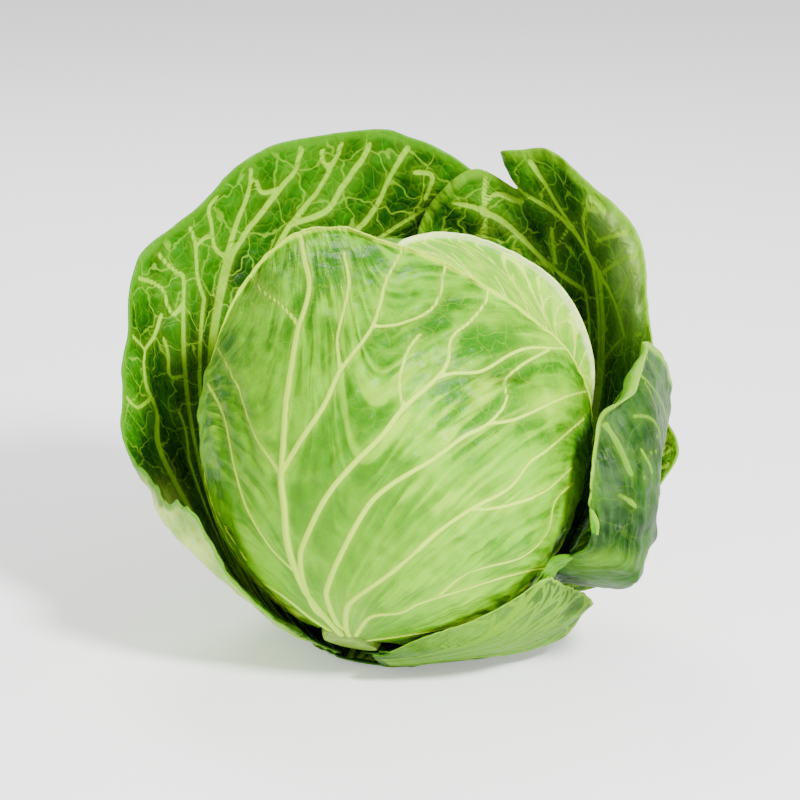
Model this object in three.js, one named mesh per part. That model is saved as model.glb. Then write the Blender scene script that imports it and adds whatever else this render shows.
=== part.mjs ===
// A head of white cabbage: a firm ball of wrapped leaves, loose outer leaves round it and a cut stem.
// Millimetres, +Z up. The head rests on its flattened underside at z = 0, its centre over the origin.
//
// Every leaf grows from the stem and is laid out on the ball like a map. A place on it is given by the
// angle "along" its own meridian, counted from the stem, the angle "across" that meridian, positive to
// the right when the stem is below, and its distance from the centre of the ball.
import * as THREE from "three";
import { mergeVertices } from "three/addons/utils/BufferGeometryUtils.js";

// Driving dimensions of the head: the stem leans from straight down towards the front left
const CENTRE_HEIGHT = 87;
const HEART_RADIUS = 79;
const HEART_DETAIL = 6;
const NARROWING = 0.08;
const STEM_TILT = 31;
const STEM_TURN = -113;
const STEM_RADIUS = 12.5;
const STEM_LENGTH = 86;
const STEM_GAP = 0.6;

// Driving dimensions of the leaves: the blade, its foot on the stem, and how layers lie on each other
const BLADE = 1.0;
const FOOT_HALF_WIDTH = 6.5;
const FOOT_TIGHTNESS = 0.72;
const TIGHT_UNTIL = 75;
const FLOOR_STEP = 1.7;
const FLOOR_BLEND = 1.5;
const HEART_FLOOR_ORDER = 8;
const ALONG_EASE = 1.3;
const MIDRIB_TO_VEIN = 2.2;

// What a leaf has unless it says otherwise
const PLAIN_LEAF = {
  columns: 24, rows: 9, curlRows: 2, curlFrom: 0.92, riseFrom: 0.35, fan: 0.85,
  ruffle: 0, ruffles: 5, vein: 0, veinFrom: 0, veinEvery: 4, midrib: 0.5,
  belly: 0, bellyFrom: 20, bellyFull: 45,
};

const degrees = (angle) => (angle * Math.PI) / 180;
const clamp = (x, low, high) => Math.min(high, Math.max(low, x));

// Eased step from 0 to 1 between two values
function ease(low, high, x) {
  const t = clamp((x - low) / (high - low), 0, 1);
  return t * t * (3 - 2 * t);
}

// The smaller of two lengths, with the corner between them rounded over a width
function softMin(a, b, width) {
  const h = Math.max(width - Math.abs(a - b), 0) / width;
  return Math.min(a, b) - (h * h * width) / 4;
}

// The head's own axes: the stem points out of its base, front and side are square to it
const stemAxis = new THREE.Vector3(
  Math.sin(degrees(STEM_TILT)) * Math.cos(degrees(STEM_TURN)),
  Math.sin(degrees(STEM_TILT)) * Math.sin(degrees(STEM_TURN)),
  -Math.cos(degrees(STEM_TILT)),
);
const frontAxis = new THREE.Vector3(0, -1, 0);
frontAxis.addScaledVector(stemAxis, -frontAxis.dot(stemAxis)).normalize();
const sideAxis = new THREE.Vector3().crossVectors(frontAxis, stemAxis);

// Direction of a place on a leaf whose midrib runs up the ball at an azimuth from the front
function leafDirection(azimuth, along, across) {
  const turn = degrees(azimuth);
  const up = frontAxis.clone().multiplyScalar(Math.cos(turn)).addScaledVector(sideAxis, Math.sin(turn));
  const right = frontAxis.clone().multiplyScalar(-Math.sin(turn)).addScaledVector(sideAxis, Math.cos(turn));
  return stemAxis.clone()
    .multiplyScalar(Math.cos(degrees(along)))
    .addScaledVector(up, Math.sin(degrees(along)))
    .multiplyScalar(Math.cos(degrees(across)))
    .addScaledVector(right, Math.sin(degrees(across)));
}

// Distance from the centre at which a leaf of one layer lies on the leaves under it. The ball is a little
// narrower from side to side. Under it the layers are pressed flat, one above the other in floor order.
function wrapRadius(layer, floorOrder, direction) {
  const polar = THREE.MathUtils.radToDeg(Math.acos(clamp(direction.dot(stemAxis), -1, 1)));
  const loose = FOOT_TIGHTNESS + (1 - FOOT_TIGHTNESS) * ease(0, TIGHT_UNTIL, polar);
  const radius = (HEART_RADIUS + layer * loose) * (1 - NARROWING * direction.x ** 2);
  if (direction.z > -0.2) return radius;
  const floor = BLADE / 2 + floorOrder * FLOOR_STEP;
  return softMin(radius, (CENTRE_HEIGHT - floor) / -direction.z, FLOOR_BLEND);
}

// One value on a smooth curve through evenly spaced stations
function onCurve(values, t) {
  const place = clamp(t, 0, 1) * (values.length - 1);
  const i = Math.min(Math.floor(place), values.length - 2);
  const s = place - i;
  const before = values[Math.max(i - 1, 0)];
  const from = values[i];
  const to = values[i + 1];
  const after = values[Math.min(i + 2, values.length - 1)];
  const bend = 2 * before - 5 * from + 4 * to - after;
  const twist = 3 * from - before - 3 * to + after;
  return from + 0.5 * s * (to - before + s * (bend + s * twist));
}

// The margin of a leaf at u: angles along and across, stand-off and curl
function marginAt(leaf, u) {
  const [along, across, standOff, curl] = [0, 1, 2, 3].map((k) => onCurve(leaf.margin.map((s) => s[k]), u));
  return { along, across, standOff, curl };
}

// A place on the middle of the blade: u runs round the margin, v from the foot on the stem to the margin
function flatPlace(leaf, u, v) {
  const margin = marginAt(leaf, u);
  const footRadius = HEART_RADIUS + leaf.layer * FOOT_TIGHTNESS;
  const footAlong = THREE.MathUtils.radToDeg((STEM_RADIUS + STEM_GAP) / footRadius);
  const footAcross = FOOT_HALF_WIDTH * (2 * u - 1);
  const along = footAlong + (margin.along - footAlong) * (1 - (1 - v) ** ALONG_EASE);
  const across = footAcross + (margin.across - footAcross) * (1 - (1 - v) ** leaf.fan);
  const direction = leafDirection(leaf.azimuth, along, across);
  const rise = ease(leaf.riseFrom, 1.25, v) / ease(leaf.riseFrom, 1.25, 1);
  const looseness = ease(2, 14, margin.standOff);
  const wave = leaf.ruffle * looseness * v ** 4 * Math.sin(leaf.ruffles * 2 * Math.PI * u);
  const swelling = ease(leaf.bellyFrom, leaf.bellyFull, along) * (1 - v ** 4);
  const bulge = leaf.belly * swelling * Math.sin(Math.PI * u);
  const wrap = wrapRadius(leaf.layer, leaf.floorOrder, direction);
  return direction.multiplyScalar(wrap + margin.standOff * rise + wave + bulge);
}

// The same place with the margin curled: past curlFrom the blade turns outwards through the curl angle
function leafPlace(leaf, u, v) {
  if (v <= leaf.curlFrom) return flatPlace(leaf, u, v);
  const start = flatPlace(leaf, u, leaf.curlFrom);
  const before = flatPlace(leaf, u, leaf.curlFrom - 0.02);
  const length = flatPlace(leaf, u, 1).distanceTo(start);
  const forward = start.clone().sub(before).normalize();
  const outward = start.clone().normalize();
  outward.addScaledVector(forward, -outward.dot(forward)).normalize();
  const curl = degrees(marginAt(leaf, u).curl);
  const t = (v - leaf.curlFrom) / (1 - leaf.curlFrom);
  if (Math.abs(curl) < 0.02) return start.addScaledVector(forward, length * t);
  const radius = length / curl;
  return start
    .addScaledVector(forward, radius * Math.sin(curl * t))
    .addScaledVector(outward, radius * (1 - Math.cos(curl * t)));
}

// How far the outside of the blade is raised over its veins, which follow the columns of the blade
function veinHeight(leaf, column, v) {
  const onMidrib = Math.abs(column - leaf.midrib * leaf.columns) < 0.6;
  const onVein = column % leaf.veinEvery === 0;
  const height = onMidrib ? leaf.vein * MIDRIB_TO_VEIN : leaf.vein * onVein;
  return height * ease(leaf.veinFrom, leaf.veinFrom + 0.15, v) * (1 - 0.85 * v);
}

// The steps from foot to margin, with finer ones where the margin curls
function rowSteps(leaf) {
  const steps = [];
  const curlStep = (1 - leaf.curlFrom) / leaf.curlRows;
  for (let j = 0; j <= leaf.rows; j++) steps.push((leaf.curlFrom * j) / leaf.rows);
  for (let j = 1; j <= leaf.curlRows; j++) steps.push(leaf.curlFrom + curlStep * j);
  return steps;
}

// A closed blade: the same triangles on its inside and outside, joined round the margin
function leafGeometry(leaf) {
  const columns = leaf.columns;
  const steps = rowSteps(leaf);
  const last = steps.length - 1;
  const middle = [];
  for (let i = 0; i <= columns; i++) middle.push(steps.map((v) => leafPlace(leaf, i / columns, v)));
  const outside = [];
  const inside = [];
  for (let i = 0; i <= columns; i++) {
    for (let j = 0; j <= last; j++) {
      const acrossStep = middle[Math.min(i + 1, columns)][j].clone().sub(middle[Math.max(i - 1, 0)][j]);
      const alongStep = middle[i][Math.min(j + 1, last)].clone().sub(middle[i][Math.max(j - 1, 0)]);
      const normal = acrossStep.cross(alongStep).normalize();
      const raised = BLADE / 2 + veinHeight(leaf, i, steps[j]);
      const outer = middle[i][j].clone().addScaledVector(normal, raised);
      const inner = middle[i][j].clone().addScaledVector(normal, -BLADE / 2);
      outer.z += CENTRE_HEIGHT;
      inner.z += CENTRE_HEIGHT;
      if (outer.z < 0.15) outer.z = 0;
      outside.push(outer);
      inside.push(inner);
    }
  }
  const stride = last + 1;
  const under = outside.length;
  const triangles = [];
  const quad = (a, b, c, d) => triangles.push(a, b, c, a, c, d);
  for (let i = 0; i < columns; i++) {
    const foot = i * stride;
    const rim = foot + last;
    for (let a = foot; a < rim; a++) {
      const b = a + stride;
      quad(a, b, b + 1, a + 1);
      triangles.push(under + a, under + b + 1, under + b, under + a, under + a + 1, under + b + 1);
    }
    quad(foot + stride, foot, under + foot, under + foot + stride);
    quad(rim, rim + stride, under + rim + stride, under + rim);
  }
  for (let a = 0; a < last; a++) {
    const b = columns * stride + a;
    quad(a, a + 1, under + a + 1, under + a);
    quad(b + 1, b, under + b, under + b + 1);
  }
  const geometry = new THREE.BufferGeometry();
  const positions = [...outside, ...inside].flatMap((p) => [p.x, p.y, p.z]);
  geometry.setAttribute("position", new THREE.Float32BufferAttribute(positions, 3));
  geometry.setIndex(triangles);
  geometry.computeVertexNormals();
  return geometry;
}

const head = new THREE.Group();

function addPiece(name, geometry, colour, roughness) {
  const material = new THREE.MeshStandardMaterial({ color: colour, roughness, metalness: 0 });
  const mesh = new THREE.Mesh(geometry, material);
  mesh.name = name;
  head.add(mesh);
}

// A leaf's margin is a list of stations, from the left of its foot round the tip to the right of its
// foot: degrees along, degrees across, millimetres that it stands off its layer, degrees of curl.
function addLeaf(name, colour, leaf) {
  addPiece(name, leafGeometry({ ...PLAIN_LEAF, ...leaf }), colour, 0.45);
}

// The heart: the dense ball of inner leaves that the wrapper leaves close over
const heart = new THREE.IcosahedronGeometry(HEART_RADIUS, HEART_DETAIL);
heart.deleteAttribute("normal");
heart.deleteAttribute("uv");
const heartBall = mergeVertices(heart);
const heartPlaces = heartBall.getAttribute("position");
for (let i = 0; i < heartPlaces.count; i++) {
  const direction = new THREE.Vector3().fromBufferAttribute(heartPlaces, i).normalize();
  const place = direction.clone().multiplyScalar(wrapRadius(0, HEART_FLOOR_ORDER, direction));
  heartPlaces.setXYZ(i, place.x, place.y, place.z + CENTRE_HEIGHT);
}
heartBall.computeVertexNormals();
addPiece("heart", heartBall, 0xd6e6a4, 0.55);

// The stem: a short stub from under the heart to a slightly hollow cut face
const stemTop = HEART_RADIUS + STEM_GAP;
const stemProfile = [
  [0, stemTop],
  [STEM_RADIUS * 0.9, stemTop - 1.2],
  [STEM_RADIUS, stemTop + 2.5],
  [STEM_RADIUS * 0.97, STEM_LENGTH - 2],
  [STEM_RADIUS * 0.88, STEM_LENGTH],
  [0, STEM_LENGTH - 0.8],
].map(([x, y]) => new THREE.Vector2(x, y));
const stem = new THREE.LatheGeometry(stemProfile, 20);
stem.applyQuaternion(new THREE.Quaternion().setFromUnitVectors(new THREE.Vector3(0, 1, 0), stemAxis));
stem.translate(0, 0, CENTRE_HEIGHT);
addPiece("stem", stem, 0xdfe8c0, 0.6);

// The leaf that closes the back and the crown of the ball
addLeaf("wrapper_leaf_crown", 0xc4dc8a, {
  azimuth: 172, layer: 3.0, floorOrder: 4,
  margin: [
    [16, -22, 0, 0], [40, -58, 0, 0], [80, -72, 0, 0], [120, -72, 0, 0], [160, -68, 0, 0],
    [195, -55, 0, 0], [212, -30, 0, 0], [216, 0, 0, 0], [212, 30, 0, 0],
    [195, 55, 0, 0], [160, 68, 0, 0], [120, 72, 0, 0], [80, 72, 0, 0], [40, 58, 0, 0], [16, 22, 0, 0],
  ],
});

// The leaf that closes the left of the ball
addLeaf("wrapper_leaf_left", 0x9cc558, {
  azimuth: -84, layer: 5.8, floorOrder: 3,
  margin: [
    [16, -20, 0, 0], [38, -40, 0, 0], [70, -48, 0, 0], [100, -46, 0, 0], [126, -38, 1, 0],
    [144, -22, 2, 0], [150, -4, 2, 0], [146, 14, 1, 0], [132, 30, 0, 0], [104, 40, 0, 0],
    [74, 42, 0, 0], [44, 38, 0, 0], [18, 22, 0, 0],
  ],
});

// The leaf under the front one, whose pale lip shows behind it
addLeaf("wrapper_leaf_second", 0xb5d56c, {
  azimuth: 50, layer: 5.8, floorOrder: 3, curlFrom: 0.95, curlRows: 3, riseFrom: 0.8,
  margin: [
    [16, -20, 0, 0], [38, -50, 0, 0], [75, -62, 0, 0], [115, -62, 0, 0], [146, -54, 0, 0],
    [162, -40, 0, 30], [164, -26, 1, 90], [160, -12, 4, 130], [152, -1, 8, 120],
    [141, 7, 11, 90], [124, 18, 9, 40], [104, 32, 1, 0], [78, 40, 0, 0], [46, 38, 0, 0], [18, 22, 0, 0],
  ],
});

// The leaf that covers the whole front, ribbed outside, with a folded rim over the crown
addLeaf("wrapper_leaf_front", 0xb2d65a, {
  azimuth: 0, layer: 8.9, floorOrder: 2, columns: 34, rows: 10, curlFrom: 0.95, curlRows: 3,
  riseFrom: 0.6, fan: 2, vein: 0.9, midrib: 0.353,
  margin: [
    [14, -24, 0, 0], [30, -60, 0, 0], [62, -77, 0, 0], [98, -77, 0, 0], [124, -70, 1, 40],
    [141, -56, 5, 100], [150, -40, 8, 110], [148, -27, 5, 110], [139, -15, 1, 100],
    [133, -2, 1, 90], [129, 12, 1, 80], [128, 27, 1, 60], [129, 43, 2, 40], [124, 58, 3, 20],
    [104, 68, 1, 0], [72, 68, 0, 0], [40, 60, 0, 0], [14, 30, 0, 0],
  ],
});

// The dark leaf that stands behind the right of the ball, notched beside its tip
addLeaf("outer_leaf_right", 0x3f8a24, {
  azimuth: 120, layer: 11.8, floorOrder: 2, columns: 34, rows: 10, riseFrom: 0.3,
  ruffle: 2.5, ruffles: 9, vein: 0.8, veinFrom: 0.45,
  margin: [
    [15, -7, 0, 0], [35, -10, 0, 0], [60, -18, 0, 0], [88, -38, 0, 0], [108, -49, 3, 0],
    [122, -47, 15, 10], [133, -41, 26, 30], [142, -34, 33, 45], [152, -28, 39, 45], [159, -22, 45, 35],
    [166, -14, 45, 25], [169, -7, 47, 15], [171, -1, 45, 10], [163, 1, 37, 0], [171, 5, 41, 0],
    [173, 12, 27, 0], [168, 25, 18, 0], [152, 36, 9, 0], [130, 42, 3, 0],
    [100, 42, 0, 0], [65, 38, 0, 0], [35, 28, 0, 0], [15, 14, 0, 0],
  ],
});

// The leaf that wraps the right side: it swells out over the leaf below it and its tip is rolled
addLeaf("outer_leaf_side", 0x5c9c3c, {
  azimuth: 80, layer: 14.6, floorOrder: 1, columns: 30, rows: 16, curlFrom: 0.88, curlRows: 3,
  riseFrom: 0.6, belly: 31, bellyFrom: 60, bellyFull: 70, ruffle: 2, ruffles: 6, vein: 0.6,
  veinFrom: 0.6,
  margin: [
    [14, -6, 0, 0], [30, -8, 0, 0], [46, -9, 0, 0], [58, -10, 0, 0], [66, -18, 5, 0], [74, -27, 7, 0],
    [84, -31, 5, 0], [96, -33, 4, 20], [102, -34, 4, 110], [109, -31, 6, 140], [115, -26, 10, 100],
    [118, -20, 16, 40], [119, -10, 23, 10], [116, 3, 27, 0], [106, 12, 26, 0],
    [90, 16, 22, 0], [72, 17, 15, 0], [50, 14, 0, 0], [28, 10, 0, 0], [13, 5, 0, 0],
  ],
});

// The leaf whose torn margin shows under the ball at the lower right
addLeaf("outer_leaf_low_right", 0x6fae3a, {
  azimuth: 70, layer: 17.5, floorOrder: 0, columns: 26, rows: 8,
  belly: 5, ruffle: 1.5, ruffles: 7, vein: 0.6,
  margin: [
    [13, -8, -1, 0], [24, -11, -4, 0], [36, -11, -4, 0], [48, -10, -3, 0], [57, -9, -1, 0],
    [59, -4, 1, 0], [60, 2, 4, 0], [61, 7, 8, 0], [61, 13, 12, 0], [56, 18, 14, 0], [47, 20, 11, 0],
    [38, 17, 5, 0], [26, 11, 1, 0], [13, 5, 0, 0],
  ],
});

// The largest leaf: dark inside, it stands behind and round the left of the ball
addLeaf("outer_leaf_left", 0x3f8f22, {
  azimuth: -135, layer: 14.6, floorOrder: 1, columns: 40, rows: 10, riseFrom: 0.3,
  ruffle: 2.5, ruffles: 9, vein: 0.9, veinFrom: 0.45,
  margin: [
    [15, -18, 0, 0], [38, -40, 0, 0], [72, -49, 1, 0], [108, -51, 6, 0], [142, -51, 15, 0],
    [166, -45, 25, 0], [178, -33, 33, 0], [180, -20, 37, 0], [176, -11, 38, 0], [170, -3, 40, 0],
    [163, 3, 49, 0], [153, 11, 50, 0], [144, 18, 46, 0], [134, 23, 45, 0], [121, 30, 44, 0],
    [107, 35, 33, 0], [94, 37, 31, 0], [82, 36, 24, 0], [70, 36, 21, -20], [57, 40, 17, -60],
    [42, 48, 13, -40], [30, 54, 11, 0], [20, 49, 8, 0], [14, 36, 6, 0], [9, 24, 3, 0], [9, 10, 1, 0],
  ],
});

// The outermost leaf: it closes the back, and the head rests on its flattened foot
addLeaf("outer_leaf_back", 0x3c7f2a, {
  azimuth: 150, layer: 17.5, floorOrder: 0, columns: 30, rows: 10, ruffle: 2, ruffles: 7, vein: 0.7,
  veinFrom: 0.4,
  margin: [
    [15, -12, 0, 0], [35, -24, 0, 0], [58, -40, 8, 0], [80, -52, 20, 0], [100, -57, 26, 0],
    [114, -52, 29, 0], [126, -40, 26, 0], [128, -20, 19, 0], [124, 0, 17, 0], [122, 20, 18, 0],
    [118, 38, 18, 0], [100, 50, 16, 0], [75, 50, 10, 0], [45, 40, 3, 0], [18, 22, 0, 0],
  ],
});

// The box round the whole head is centred over the origin
const box = new THREE.Box3().setFromObject(head);
const middle = box.getCenter(new THREE.Vector3());
for (const mesh of head.children) mesh.geometry.translate(-middle.x, -middle.y, 0);

export default head;
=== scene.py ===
# %% [markdown]
# # A head of cabbage
# A cabbage is a ball of leaves that close over each other, with looser, darker leaves standing round it.
# The head is a part whose solids were made before this lesson. Here each leaf is grown again on the same
# shape, much finer, with its ribs, its puckers and its colours, and lit like the photograph.

import math

import bmesh
import bpy
import numpy as np
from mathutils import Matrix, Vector
from mathutils.kdtree import KDTree


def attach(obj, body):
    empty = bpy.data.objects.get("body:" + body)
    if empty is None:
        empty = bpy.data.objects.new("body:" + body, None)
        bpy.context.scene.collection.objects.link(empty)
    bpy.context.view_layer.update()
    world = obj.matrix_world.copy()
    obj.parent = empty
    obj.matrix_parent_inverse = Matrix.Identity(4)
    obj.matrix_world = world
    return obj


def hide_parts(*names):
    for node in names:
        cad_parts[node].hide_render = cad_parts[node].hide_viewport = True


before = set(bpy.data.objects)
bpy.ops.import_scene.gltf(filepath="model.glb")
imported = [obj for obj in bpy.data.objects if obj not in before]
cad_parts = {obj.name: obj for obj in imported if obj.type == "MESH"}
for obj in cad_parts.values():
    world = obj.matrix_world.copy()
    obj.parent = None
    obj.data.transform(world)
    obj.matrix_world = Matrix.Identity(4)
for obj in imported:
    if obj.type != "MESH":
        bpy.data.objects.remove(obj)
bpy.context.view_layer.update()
print("solids:", sorted(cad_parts))

# %% [markdown]
# ## The camera
# The photograph looks a little down on the head, from far away: its lines hardly run together. A long
# lens does the same. The camera is aimed beside the head's centre by as much as the photograph is,
# because a turned camera keeps its framing in every view, and a shifted lens would not.

# %% Place the camera
MM = 0.001
HEAD_CENTRE = np.array([-3.476, -12.983, 87.0])
LOOK_DOWN = math.radians(17)
CAMERA_DISTANCE = 1200.0
MM_PER_PIXEL = 0.41
PICTURE_SIZE = 800
CENTRE_PIXEL = (393, 440)
SENSOR_WIDTH = 36

view_right = np.array([1.0, 0.0, 0.0])
view_up = np.array([0.0, math.sin(LOOK_DOWN), math.cos(LOOK_DOWN)])
view_back = np.array([0.0, -math.cos(LOOK_DOWN), math.sin(LOOK_DOWN)])
aim = (
    HEAD_CENTRE
    + view_right * (PICTURE_SIZE / 2 - CENTRE_PIXEL[0]) * MM_PER_PIXEL
    + view_up * (CENTRE_PIXEL[1] - PICTURE_SIZE / 2) * MM_PER_PIXEL
)
eye = HEAD_CENTRE + view_back * CAMERA_DISTANCE

lens = bpy.data.cameras.new("camera")
lens.sensor_width = SENSOR_WIDTH
lens.lens = SENSOR_WIDTH * CAMERA_DISTANCE / (PICTURE_SIZE * MM_PER_PIXEL)
lens.clip_start = 0.05
camera = bpy.data.objects.new("camera", lens)
camera.location = Vector(eye * MM)
camera.rotation_euler = Vector((aim - eye) * MM).to_track_quat("-Z", "Y").to_euler()
bpy.context.scene.collection.objects.link(camera)
bpy.context.scene.camera = camera
print(f"lens {lens.lens:.0f} mm, camera at", [round(x, 3) for x in camera.location])

# %% [markdown]
# ## The floor and the light
# The photograph is a studio picture on white: a soft light from the front right and above, white all
# round, and a faint shadow under the head. Area lights give soft edges to the shadows between the leaves,
# and a weaker white surrounding light keeps the hollows deep.

# %% Floor, world and lights
def add_area_light(name, place, size, power):
    light = bpy.data.lights.new(name, "AREA")
    light.shape = "DISK"
    light.size = size
    light.energy = power
    lamp = bpy.data.objects.new(name, light)
    lamp.location = place
    lamp.rotation_euler = (Vector(HEAD_CENTRE * MM) - Vector(place)).to_track_quat("-Z", "Y").to_euler()
    bpy.context.scene.collection.objects.link(lamp)


floor_grid = bmesh.new()
bmesh.ops.create_grid(floor_grid, x_segments=1, y_segments=1, size=6)
floor_mesh = bpy.data.meshes.new("floor")
floor_grid.to_mesh(floor_mesh)
floor_grid.free()
floor = bpy.data.objects.new("floor", floor_mesh)
bpy.context.scene.collection.objects.link(floor)

world = bpy.data.worlds.new("studio")
bpy.context.scene.world = world
world.use_nodes = True
surround = world.node_tree.nodes["Background"].inputs
surround["Color"].default_value = (1, 1, 1, 1)
surround["Strength"].default_value = 0.7

add_area_light("key", place=(0.7, -0.9, 1.05), size=0.3, power=58)
add_area_light("fill", place=(-0.9, -0.8, 0.6), size=0.4, power=3)
add_area_light("back", place=(-0.2, 0.9, 1.1), size=0.6, power=14)

# %% [markdown]
# ## Shader maths
# A leaf's colour is a stack of masks: ribs over a fine network over slow changes of green. Written as
# node links that is hard to read, so a small class lets sockets be added and multiplied like numbers, and
# a leaf's finish is a few lines of sums.

# %% Sockets as values
class Value:
    def __init__(self, finish, socket):
        self.finish = finish
        self.socket = socket

    def sum_with(self, operation, first, second):
        made = self.finish.node("ShaderNodeMath", {"operation": operation}, {0: first, 1: second})
        return Value(self.finish, made.outputs[0])

    def __add__(self, other):
        return self.sum_with("ADD", self, other)

    def __sub__(self, other):
        return self.sum_with("SUBTRACT", self, other)

    def __mul__(self, other):
        return self.sum_with("MULTIPLY", self, other)

    def __rsub__(self, other):
        return self.sum_with("SUBTRACT", other, self)

    __radd__ = __add__
    __rmul__ = __mul__

    def at_least(self, other):
        return self.sum_with("MAXIMUM", self, other)


class Finish:
    """One material, with its Principled shader and the helpers that its patterns are made of."""

    def __init__(self, name):
        self.material = bpy.data.materials.new(name)
        self.material.use_nodes = True
        self.tree = self.material.node_tree
        self.tree.nodes.clear()
        self.shader = self.node("ShaderNodeBsdfPrincipled")
        self.node("ShaderNodeOutputMaterial", {}, {"Surface": self.shader.outputs[0]})

    def node(self, kind, settings=None, sockets=None):
        made = self.tree.nodes.new(kind)
        for name, setting in (settings or {}).items():
            setattr(made, name, setting)
        self.feed(made, sockets or {})
        return made

    def feed(self, made, sockets):
        for name, value in sockets.items():
            if isinstance(value, Value):
                value = value.socket
            if isinstance(value, bpy.types.NodeSocket):
                self.tree.links.new(value, made.inputs[name])
            else:
                made.inputs[name].default_value = value

    def attribute(self, name):
        made = self.node("ShaderNodeAttribute", {"attribute_name": name})
        return Value(self, made.outputs["Fac"])

    def leaf_map(self):
        return self.node("ShaderNodeUVMap", {"uv_map": "leaf"}).outputs[0]

    def fan_map(self, across, along):
        """A map that fans out from the foot of the leaf, as its fibres do."""
        sockets = {0: self.attribute("turn") * across, 1: self.attribute("reach") * along}
        return self.node("ShaderNodeCombineXYZ", {}, sockets).outputs[0]

    def room(self):
        return self.node("ShaderNodeTexCoord").outputs["Object"]

    def noise(self, where, scale, detail=3.0, warp=0.0):
        sockets = {"Vector": where, "Scale": scale, "Detail": detail, "Distortion": warp}
        return Value(self, self.node("ShaderNodeTexNoise", {}, sockets).outputs["Fac"])

    def cells(self, where, scale):
        settings = {"feature": "DISTANCE_TO_EDGE", "voronoi_dimensions": "2D"}
        made = self.node("ShaderNodeTexVoronoi", settings, {"Vector": where, "Scale": scale})
        return Value(self, made.outputs["Distance"])

    def step(self, value, low, high):
        settings = {"interpolation_type": "SMOOTHSTEP"}
        made = self.node("ShaderNodeMapRange", settings, {0: value, 1: low, 2: high})
        return Value(self, made.outputs[0])

    def mix(self, amount, first, second):
        made = self.node("ShaderNodeMix", {"data_type": "RGBA"}, {0: amount, 6: first, 7: second})
        return Value(self, made.outputs[2])

    def bump(self, height, distance, strength=1.0):
        sockets = {"Height": height, "Distance": distance, "Strength": strength}
        return Value(self, self.node("ShaderNodeBump", {}, sockets).outputs[0])


def screen(red, green, blue):
    """A colour given as it looks on a screen, 0 to 255, turned into light."""
    shares = [c / 255 for c in (red, green, blue)]
    return tuple(c / 12.92 if c < 0.04045 else ((c + 0.055) / 1.055) ** 2.4 for c in shares) + (1.0,)


print("a mid green is", [round(c, 3) for c in screen(110, 163, 30)])

# %% [markdown]
# The floor is white paper. In the photograph it is so bright that it hardly shows a shadow. Stronger lamps
# would bleach the leaves, so the paper itself glows a little.

# %% Floor finish
paper = Finish("floor_paper")
paper.feed(paper.shader, {
    "Base Color": screen(250, 250, 250),
    "Roughness": 0.9,
    "Emission Color": screen(255, 255, 255),
    "Emission Strength": 0.4,
})
floor.data.materials.append(paper.material)

# %% [markdown]
# ## The shape of a leaf
# Every leaf grows from the stem and lies on the ball like a map: a place on it is an angle *along* its own
# meridian, counted from the stem, an angle *across* that meridian, and a distance from the ball's centre.
# These few functions are the same sums that the solids were made with, so the fine leaves lie exactly
# where the solids are. They work on whole grids of places at once.

# %% The ball and its layers
HEART_RADIUS = 79.0
NARROWING = 0.08
STEM_TILT = math.radians(31)
STEM_TURN = math.radians(-113)
STEM_RADIUS = 12.5
STEM_GAP = 0.6
FOOT_HALF_WIDTH = 6.5
FOOT_TIGHTNESS = 0.72
TIGHT_UNTIL = 75
FLOOR_STEP = 1.7
FLOOR_BLEND = 1.5
ALONG_EASE = 1.3
BLADE = 1.0


def unit(vectors):
    return vectors / np.linalg.norm(vectors, axis=-1, keepdims=True)


def ease(low, high, x):
    t = np.clip((x - low) / (high - low), 0, 1)
    return t * t * (3 - 2 * t)


stem_axis = np.array([
    math.sin(STEM_TILT) * math.cos(STEM_TURN),
    math.sin(STEM_TILT) * math.sin(STEM_TURN),
    -math.cos(STEM_TILT),
])
front_axis = np.array([0.0, -1.0, 0.0])
front_axis = unit(front_axis - front_axis.dot(stem_axis) * stem_axis)
side_axis = np.cross(front_axis, stem_axis)


def leaf_axes(azimuth):
    """Square to the stem: the way that a leaf's middle grows, and the way to its right."""
    turn = math.radians(azimuth)
    up = front_axis * math.cos(turn) + side_axis * math.sin(turn)
    right = side_axis * math.cos(turn) - front_axis * math.sin(turn)
    return up, right


def leaf_direction(azimuth, along, across):
    up, right = leaf_axes(azimuth)
    along, across = np.radians(along)[..., None], np.radians(across)[..., None]
    meridian = np.cos(along) * stem_axis + np.sin(along) * up
    return np.cos(across) * meridian + np.sin(across) * right


def wrap_radius(layer, floor_order, direction):
    """How far from the centre a leaf lies on the leaves under it; under the head they are pressed flat."""
    polar = np.degrees(np.arccos(np.clip(direction @ stem_axis, -1, 1)))
    loose = FOOT_TIGHTNESS + (1 - FOOT_TIGHTNESS) * ease(0, TIGHT_UNTIL, polar)
    radius = (HEART_RADIUS + layer * loose) * (1 - NARROWING * direction[..., 0] ** 2)
    downward = np.minimum(direction[..., 2], -0.2)
    flat = (HEAD_CENTRE[2] - BLADE / 2 - floor_order * FLOOR_STEP) / -downward
    corner = np.maximum(FLOOR_BLEND - np.abs(radius - flat), 0) / FLOOR_BLEND
    pressed = np.minimum(radius, flat) - corner * corner * FLOOR_BLEND / 4
    return np.where(direction[..., 2] > -0.2, radius, pressed)


print("stem points to", stem_axis.round(3))

# %% [markdown]
# A leaf is a set of named values. It lies `layer` mm over the heart, with `floor_order` leaves between it
# and the floor. It stands off from `rise_from` on, and its edge curls from `curl_from` on. `fan` is how
# soon it widens, `ruffle` and `ruffles` are how high and how often its margin waves, `belly` is how far
# its middle bulges, `torn` is where its margin is ragged, and `lean` is how far its streaks lean.
# `seen_from` is how near to the eye a place has to be to take a patch of painted shade, light or glints.

# %% A place on a leaf
PLAIN_LEAF = {
    "curl_from": 0.92, "rise_from": 0.35, "fan": 0.85, "ruffle": 0, "ruffles": 5,
    "belly": 0, "belly_from": 20, "belly_full": 45, "torn": (0, 0, 0), "lean": 0, "seed": 1,
    "seen_from": -10,
}


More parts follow.
